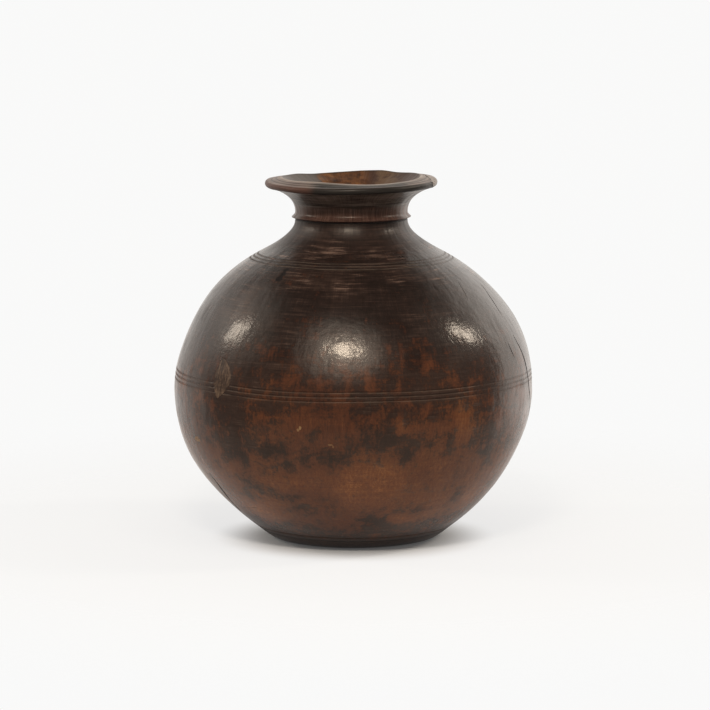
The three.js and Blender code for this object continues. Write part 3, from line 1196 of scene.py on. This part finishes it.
def lay_lip(mesh):
    """Marks the points inside the mouth, on the lip's top and front edge, and at its crest for the painted
    highlight.
    """
    layers = mesh.verts.layers.float
    mouth, top, crest, edge, turned_lines = (layers.new(part) for part in LIP_MARKS)
    funnel = neck_curves().funnel
    for point in mesh.verts:
        radius, height = hypot(point.co.x, point.co.y), point.co.z
        rim = next((stop.x for stop in reversed(funnel) if stop.z >= height), BORE_RADIUS)
        inside = radius < rim + MOUTH_MARGIN
        above = ease((height - lip_top) / TOP_EDGE + 0.7)
        far = hypot(radius - crest_radius, height - CREST_HEIGHT)
        point[mouth] = 1.0 if inside else 0.0
        point[top] = 0.0 if inside else above
        point[crest] = exp(-((far / CREST_HIGHLIGHT_REACH) ** 2))
        on_edge = (1 - above) * ease((height - lip_bottom + EDGE_DROP) / EDGE_FADE)
        point[edge] = 0.0 if inside else on_edge
        near = min(abs(lip_edge_radius - radius - inset) for inset in band(LIP_BAND_INSET, 2))
        point[turned_lines] = exp(-((near / TURNED_LINE) ** 2))


neck = sawn(turned(neck_profile(band(LIP_BAND_INSET, 2))), cut_distance, False)
lay_lip(neck)
add_piece("jar_neck", "neck_and_rim", weathered(neck), [neck_finish])
lip_repair = sawn(turned(neck_profile(())), cut_distance + PLAY, True)
add_piece("lip_repair", "rim_patch", weathered(lip_repair), [rim_patch_finish])


# The base and the two beds of resin.
def base_profile():
    edge = sweep(at(FOOT_RADIUS, 0), OUTWARD, at(FOOT_EDGE_RADIUS, FOOT_HEIGHT), FOOT_LEAN, (0.3, 0.35))
    return (
        [at(0, 0)]
        + dressed(edge, SMALL_STEP)
        + [at(plug_radius, FOOT_HEIGHT), at(plug_radius, FLOOR_TOP), at(0, FLOOR_TOP)]
    )


def resin_profile(inner, low_surface, high_surface, bottom, top):
    return [
        at(low_surface - RESIN_RECESS, bottom),
        at(high_surface - RESIN_RECESS, top),
        at(inner, top),
        at(inner, bottom),
    ]


base = weathered(turned(base_profile(), closed=False))
add_piece("jar_base", "base_plug", base, [base_finish])
neck_bed = turned(resin_profile(socket_radius, neck_radius, neck_radius, SEAT_HEIGHT, NECK_BOTTOM))
add_piece("neck_resin", "neck_joint_resin", weathered(neck_bed), [resin_finish])
base_bed = turned(
    resin_profile(plug_radius + 2 * PLAY, FOOT_EDGE_RADIUS, body_foot_radius, FOOT_HEIGHT, BODY_BOTTOM)
)
add_piece("base_resin", "base_joint_resin", weathered(base_bed), [bed_finish])

# The floor, which fades into the background.
FLOOR_RADIUS = 3.0
FLOOR_SIDES = 96
FLOOR_COLOUR = (0.88, 0.875, 0.865, 1.0)
FLOOR_GLOW = (0.98, 0.98, 0.978, 1.0)
# Painted shade: the floor's glow is held back about this centre, a little in front of the jar, so the floor
# is darker there; the glow comes in between two distances.
PAINTED_SHADE_CENTRE = (0.0, -0.012, 0.0)
PAINTED_SHADE_REACH = (0.084, 0.146)
FADE_REACH = (0.2, 0.75)
floor_mesh = bmesh.new()
bmesh.ops.create_circle(floor_mesh, cap_ends=True, segments=FLOOR_SIDES, radius=FLOOR_RADIUS)
floor_finish, start = start_finish("pale_floor")
far = start.node("ShaderNodeTexCoord", {}, {}, "Object")
far = far.node("ShaderNodeVectorMath", {"operation": "SUBTRACT"}, {0: far, 1: PAINTED_SHADE_CENTRE})
far = far.node("ShaderNodeVectorMath", {"operation": "LENGTH"}, {0: far}, "Value")
ground = start.node("ShaderNodeBsdfDiffuse", {}, {"Color": FLOOR_COLOUR})
seen = start.node("ShaderNodeLightPath", {}, {}, "Is Camera Ray")
glossy = start.node("ShaderNodeLightPath", {}, {}, "Is Glossy Ray")
glow = start.node("ShaderNodeEmission", {}, {"Color": FLOOR_GLOW, "Strength": 1.0})
clear = start.node("ShaderNodeBsdfTransparent", {}, {})
# Less glow near the jar paints a darker floor about it, over the shadow that the lamps cast.
share = seen * (0.06 + rise(far, *PAINTED_SHADE_REACH) * 0.68) + glossy * 0.2
lit = start.node("ShaderNodeMixShader", {}, {0: share, 1: ground, 2: glow})
faded = start.node("ShaderNodeMixShader", {}, {0: rise(far, *FADE_REACH), 1: lit, 2: clear})
end_finish(start, faded)
floor = as_object("floor", floor_mesh, [floor_finish])

# Soft lamps. The wax mirrors three of them, each at a place of the picture.
LAMP_DISTANCE = 2.2
LAMP_COLOUR = (1.0, 0.93, 0.84)
JAR_MIDDLE = Vector((0, 0, 180 * MM))
# Name, place in the picture, roll in degrees, width and height in metres, and how bright.
LAMPS = (
    ("front_lamp", (345, 350), 0, 0.56, 0.25, 56.0),
    ("left_lamp", (237, 331), -36, 0.28, 0.66, 16.0),
    ("right_lamp", (464, 334), 36, 0.28, 0.66, 30.0),
)
# The way to it, then its width, height and brightness.
FILL_LAMP = ((0.0, -0.45, 0.9), 2.2, 1.4, 2.3)
# The pale cloth round each lamp, as the wax mirrors it: a place of the picture and how bright.
LAMP_CLOTHS = (((345, 353), 5.4), ((246, 326), 1.9), ((462, 333), 0.9))
CLOTH_REACH = (0.62, 0.48)
# The body's facing at a place is taken as the mean over these steps of the picture.
FACING_STEPS = (-8, 0, 8)


def add_lamp(name, target, toward, roll, wide, high, bright, shown):
    """A soft oval lamp that faces a target; a shown one is mirrored in the wax."""
    lamp_data = bpy.data.lights.new(name, "AREA")
    lamp_data.shape = "ELLIPSE"
    lamp_data.size = wide
    lamp_data.size_y = high
    lamp_data.energy = bright * pi * (pi / 4 * wide * high)
    lamp_data.color = LAMP_COLOUR
    lamp = bpy.data.objects.new(name, lamp_data)
    lamp.location = target + toward * LAMP_DISTANCE
    turn = toward.to_track_quat("Z", "Y") @ Quaternion((0, 0, 1), radians(roll))
    lamp.rotation_euler = turn.to_euler()
    lamp.visible_camera = False
    lamp.visible_glossy = shown
    scene.collection.objects.link(lamp)


def mirrored_way(column, row):
    """The point of the body at a place of the picture, and the way in which its wax mirrors."""
    out = Vector()
    for across in FACING_STEPS:
        for down in FACING_STEPS:
            out += seen_at(column + across, row + down)[1]
    out.normalize()
    point = on_body(column, row)
    view = (camera.location - point).normalized()
    return point, out * (2 * out.dot(view)) - view


for name, place, roll, wide, high, bright in LAMPS:
    add_lamp(name, *mirrored_way(*place), roll, wide, high, bright, True)
toward, wide, high, bright = FILL_LAMP
add_lamp("fill_lamp", JAR_MIDDLE, Vector(toward).normalized(), 0, wide, high, bright, False)

# The background, the pale walls behind and beside the jar, and an even fill of light.
BACKGROUND = (0.95, 0.95, 0.945, 1.0)
ROOM_COLOUR = (1.0, 0.95, 0.9, 1.0)
FILL = 0.14
WALL_FILL = 0.9
studio = bpy.data.worlds.new("studio")
scene.world = studio
studio.use_nodes = True
studio.node_tree.nodes.clear()
start = Tone(studio.node_tree)
ray = start.node("ShaderNodeTexCoord", {}, {}, "Generated")
ray_x, ray_y, ray_z = parts_of(ray)
walls = rise(ray_y - ray_x * 0.02, 0.19, 0.45) * (1 - rise(ray_z, 0.45, 0.9))
brighter = rise(ray_x, 0.0, 0.85) * (1.15 + rise(ray_z, 0.0, 0.4) * 0.95)
mirrored = 0.03 + (1 - rise(ray_z, 0.2, 0.6)) * 0.3 + walls * (0.76 + rise(ray_z, 0.0, 0.4) * 0.22 + brighter)
for place, bright in LAMP_CLOTHS:
    mirrored = mirrored + (1 - rise(away(ray, mirrored_way(*place)[1], *CLOTH_REACH), 0.13, 1.0)) * bright
fill = FILL + walls * WALL_FILL
seen = start.node("ShaderNodeLightPath", {}, {}, "Is Camera Ray")
glossy = start.node("ShaderNodeLightPath", {}, {}, "Is Glossy Ray")
room_light = fill + glossy * (mirrored - fill)
backdrop = start.node("ShaderNodeBackground", {}, {"Color": BACKGROUND, "Strength": 1.0})
room = start.node("ShaderNodeBackground", {}, {"Color": ROOM_COLOUR, "Strength": room_light})
sky = start.node("ShaderNodeMixShader", {}, {0: seen, 1: room, 2: backdrop})
start.node("ShaderNodeOutputWorld", {}, {"Surface": sky})

scene.view_settings.view_transform = "Standard"
